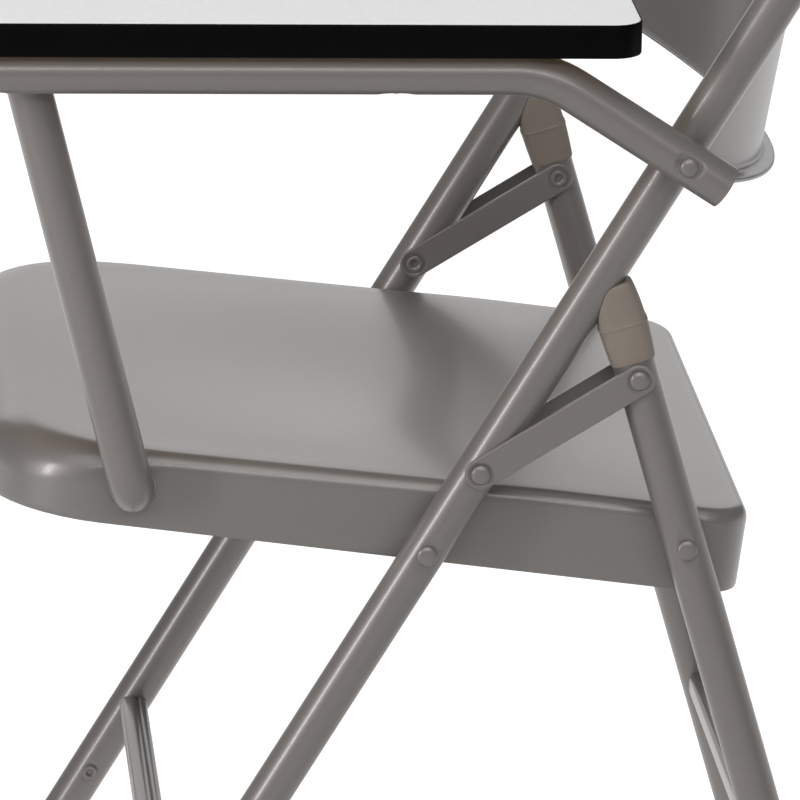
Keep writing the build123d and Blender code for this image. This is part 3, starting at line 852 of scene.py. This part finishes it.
# ---- backrest: a bowed sheet with its lower edge turned out and hemmed ----
def backrest():
    """The bowed sheet between the front tubes, deep at its lower edge and nearly flat on top."""
    hem = [(0.2, 1.0), (0.8, 2.2), (2.0, 3.0), (4.5, 3.2), (7.3, 3.3), (8.7, 3.2)]
    hem += [(9.3, 3.5), (9.5, 4.1), (9.2, 4.7), (8.4, 5.0), (6.8, 4.9)]
    span, top_line = 201.5, 424
    low_run, low_bow, high_bow, half, dip = 238.5, 78.0, 2.0, 206.0, math.radians(24)
    low_at, high_at = on_front(low_run), on_front(top_line)

    def bow(depth, x):
        """How far back the sheet stands at a place across it."""
        radius = (span**2 + depth**2) / (2 * depth)
        return math.sqrt(radius**2 - x * x) - (radius - depth)

    def low(x, out=0.0, down=0.0):
        """A point on the lower edge, or on the hem turned out from it."""
        depth = bow(low_bow, x)
        radius = (span**2 + low_bow**2) / (2 * low_bow)
        lean = math.asin(max(-1, min(1, x / radius)))
        b = depth + out * math.cos(lean)
        nx = x + out * math.sin(lean)
        back_at = low_at[0] + b * math.cos(dip) - down * math.sin(dip)
        up_at = low_at[1] - b * math.sin(dip) - down * math.cos(dip)
        return (nx, back_at, up_at)

    def high(x):
        """A point on the line that the sheet's top leans to."""
        b = bow(high_bow, x)
        return (x, high_at[0] + b * math.sin(FRONT_SLOPE), high_at[1] - b * math.cos(FRONT_SLOPE))

    stations = [half * math.sin(math.radians(a)) for a in range(-90, 91, 2)]
    rows = []
    for x in stations:
        over = max(0.0, abs(x) - 148.0)
        arc = math.sqrt(max(0.0, BOW_RADIUS**2 - over**2))
        top_run = FRAME_TOP_RUN - BOW_RADIUS + arc - 6
        share_top = min(1.0, (top_run - low_run) / (top_line - low_run))
        column = []
        for i in range(19):
            t = share_top * (1 - i / 18)
            a, b = Vector(low(x)), Vector(high(x))
            ease = t + 0.10 * math.sin(math.pi * t)
            spot = a.lerp(b, t)
            flat = a.lerp(b, min(1.0, ease))
            spot.y = spot.y * 0.4 + (flat.y - (b.y - a.y) * (min(1.0, ease) - t)) * 0.6
            column.append(spot)
        for out, down in hem:
            column.append(Vector(low(x, out, down)))
        rows.append([place(*c) for c in column])
    verts = [v for row in rows for v in row]
    deep = len(rows[0])
    faces = []
    for i in range(len(rows) - 1):
        for k in range(deep - 1):
            faces.append((i * deep + k, i * deep + k + 1, (i + 1) * deep + k + 1, (i + 1) * deep + k))
    sheet = loose_piece("back_sheet", verts, faces)
    thicken = sheet.modifiers.new("sheet", "SOLIDIFY")
    thicken.thickness = 1.0 * MM
    thicken.offset = 0
    return settled(sheet)


back = backrest()
# Painted shade: the backrest takes the darkened copy of the frame's paint.
adopt(back, shaded_back_paint, "front_frame", ["backrest_panel"])

# ---- cross braces: grooved bars with rounded ends against the legs ----
def brace(name, body, replaced, centre_at):
    """A bar across the chair: two lobes with a groove between, and rounded noses against the legs."""
    count = 72
    section = []
    for i in range(count):
        t = 2 * math.pi * i / count
        c, s = math.cos(t), math.sin(t)
        y = 7.75 * math.copysign(abs(c) ** 0.5, c)
        z = 6.5 * math.copysign(abs(s) ** 0.4, s)
        if s > 0:
            z -= 2.6 * math.exp(-(((y - 1.9) / 0.9) ** 2)) + 0.5 * smoothstep(1.9, 3.5, y)
        section.append((y, z))
    reach, nose = 206.5, 9.0
    ends = [reach - nose * (1 - math.sin(math.radians(a))) for a in (90, 75, 60, 45, 30, 15, 0)]
    xs = [-x for x in ends] + [-150, -75, 0, 75, 150] + ends[::-1]
    verts = []
    for x in xs:
        past = min(1.0, max(0.0, (abs(x) - reach + nose) / nose))
        tall = math.sqrt(1 - (0.94 * past) ** 2)
        wide = 1 - 0.25 * past**3
        for y, z in section:
            verts.append(place(x, centre_at[0] + y * wide, centre_at[1] - 6.5 + (z + 6.5) * tall))
    faces = joined_rings(len(xs), count) + end_caps(len(xs), count)
    return finish_mesh(name, verts, faces, paint, body, replaced, sharp=60)


brace("front_brace_bar", "front_frame", ["front_cross_brace"], on_front(FRONT_BRACE_RUN))
brace("rear_brace_bar", "rear_legs", ["rear_cross_brace"], on_rear(REAR_BRACE_RUN))

# ---- tablet: its black edge and pale skin, round an outline of (across, along, corner radius) ----
TABLET_IN = Vector((0, math.cos(ARM_TILT), -math.sin(ARM_TILT)))
TABLET_UP = Vector((0, math.sin(ARM_TILT), math.cos(ARM_TILT)))
TABLET = [(257.5, 107.5, 16), (257.5, -432, 50), (-38, -432, 50)]
TABLET += [(-38, -150, 90), (110, 20, 90), (110, 107.5, 16)]


def tablet_ring(inset, height):
    """The tablet's outline at an inset, as points on the chair."""
    made = []
    steps = 20
    for i, (x, y, r) in enumerate(TABLET):
        corner = Vector((x, y))
        before = (Vector(TABLET[i - 1][:2]) - corner).normalized()
        after = (Vector(TABLET[(i + 1) % len(TABLET)][:2]) - corner).normalized()
        half = before.angle(after) / 2
        centre = corner + (before + after).normalized() * r / math.sin(half)
        hollow = before.x * after.y - before.y * after.x < 0
        reach = r + inset if hollow else r - inset
        start = (corner + before * r / math.tan(half) - centre).normalized()
        end = (corner + after * r / math.tan(half) - centre).normalized()
        turn = start.angle(end)
        for k in range(steps + 1):
            out = start * math.sin(turn * (1 - k / steps)) + end * math.sin(turn * k / steps)
            p = centre + out.normalized() * reach
            flat = place(0, 0, ARM_UP) + LEFTWARD * p.x * MM + TABLET_IN * p.y * MM
            made.append(flat + TABLET_UP * height * MM)
    return made


def tablet_band():
    """The moulded edge, from (inset, height) round its section."""
    below = [(2.0, 11.5), (0.9, 11.5), (0.3, 11.75), (0.0, 12.4)]
    above = [(0.0, 28.2), (0.2, 28.75), (0.5, 28.97), (0.8, 29.0), (0.8, 28.0), (2.0, 28.0)]
    rings = [tablet_ring(inset, height) for inset, height in below + above]
    count = len(rings[0])
    verts = [v for ring in rings for v in ring]
    faces = joined_rings(len(rings), count, closed=True)
    replaced = ["tablet_edge_band"]
    return finish_mesh("tablet_band", verts, faces, edge_black, "tablet_arm", replaced, sharp=60)


def tablet_skin():
    """The thin laminate on top, with a slightly eased rim."""
    rings = [tablet_ring(inset, height) for inset, height in ((0.9, 28.05), (0.9, 28.9), (1.15, 29.05))]
    count = len(rings[0])
    verts = [v for ring in rings for v in ring]
    faces = joined_rings(len(rings), count) + end_caps(len(rings), count)
    replaced = ["tablet_laminate"]
    return finish_mesh("tablet_skin", verts, faces, top_skin, "tablet_arm", replaced, sharp=30)


tablet_band()
tablet_skin()

# ---- camera's direction, which the floor also follows ----
AZIMUTH = math.radians(85.49)
ELEVATION = math.radians(15.84)


# ---- floor ----
def studio_floor():
    """A wide pale floor that glows behind the object, where the camera looks past it."""
    half = 30.0
    mesh = bpy.data.meshes.new("floor")
    corners = [(-half, -half, 0), (half, -half, 0), (half, half, 0), (-half, half, 0)]
    mesh.from_pydata(corners, [], [(0, 1, 2, 3)])
    floor = in_scene("floor", mesh)
    floor.rotation_euler.z = AZIMUTH
    made, tree, shader = new_material("floor")
    tone = two_tone(tree, noise(tree, 0.6, 2), (0.60, 0.60, 0.60), (0.63, 0.63, 0.63))
    tree.links.new(tone, shader.inputs["Base Color"])
    shader.inputs["Roughness"].default_value = 0.9
    shader.inputs["Specular IOR Level"].default_value = 0.1
    coords = tree.nodes.new("ShaderNodeTexCoord")
    split = tree.nodes.new("ShaderNodeSeparateXYZ")
    tree.links.new(coords.outputs["Object"], split.inputs["Vector"])
    shader.inputs["Emission Color"].default_value = (1, 1, 1, 1)
    tree.links.new(spread(tree, split.outputs["Y"], -0.5, 0.4, 0.12, 0.82), shader.inputs["Emission Strength"])
    mesh.materials.append(made)


studio_floor()

# ---- light ----
world = bpy.data.worlds.new("studio")
bpy.context.scene.world = world
world.use_nodes = True
world.node_tree.nodes["Background"].inputs["Color"].default_value = (1.0, 1.0, 1.0, 1)
world.node_tree.nodes["Background"].inputs["Strength"].default_value = 0.175


def area_light(name, spot, target, size, power, colour=(1, 1, 1)):
    """A rectangular lamp at a spot, turned to its target."""
    data = bpy.data.lights.new(name, "AREA")
    data.shape = "RECTANGLE"
    data.size, data.size_y = size
    data.energy = power
    data.color = colour
    light = in_scene(name, data)
    light.location = spot
    light.rotation_mode = "QUATERNION"
    light.rotation_quaternion = (Vector(target) - Vector(spot)).to_track_quat("-Z", "Y")


MIDDLE = (0, 0, 0.45)
area_light("top_soft", (0.9, -0.1, 2.5), MIDDLE, (2.6, 2.4), 27)
area_light("side_strip", (1.40, -2.08, 1.05), (0, 0.1, 0.5), (0.34, 1.1), 24, (0.97, 0.96, 1.0))
area_light("front_line", (2.9, 0.3, 1.9), MIDDLE, (2.8, 0.2), 21)
area_light("front_soft", (2.0, 0.2, 2.4), MIDDLE, (2.4, 0.9), 7)
area_light("back_glow", (-5.6, 0.4, 2.2), MIDDLE, (5.0, 3.4), 60)

# ---- camera ----
right = Vector((math.cos(AZIMUTH), math.sin(AZIMUTH), 0))
level = math.cos(ELEVATION)
forward = -Vector((math.sin(AZIMUTH) * level, -math.cos(AZIMUTH) * level, math.sin(ELEVATION)))
upward = right.cross(forward)
camera_data = bpy.data.cameras.new("camera")
camera_data.sensor_width = 36
camera_data.lens = 347.85
camera_data.clip_start = 0.1
camera_data.clip_end = 60
camera = in_scene("camera", camera_data)
CAMERA_ASIDE, CAMERA_ABOVE, CAMERA_AWAY = 3.56 * MM, 20.02 * MM, 4.230
camera.location = HINGE + right * CAMERA_ASIDE + upward * CAMERA_ABOVE - forward * CAMERA_AWAY
camera.rotation_mode = "QUATERNION"
camera.rotation_quaternion = Matrix((right, upward, -forward)).transposed().to_quaternion()
bpy.context.scene.camera = camera
bpy.context.scene.view_settings.view_transform = "Standard"
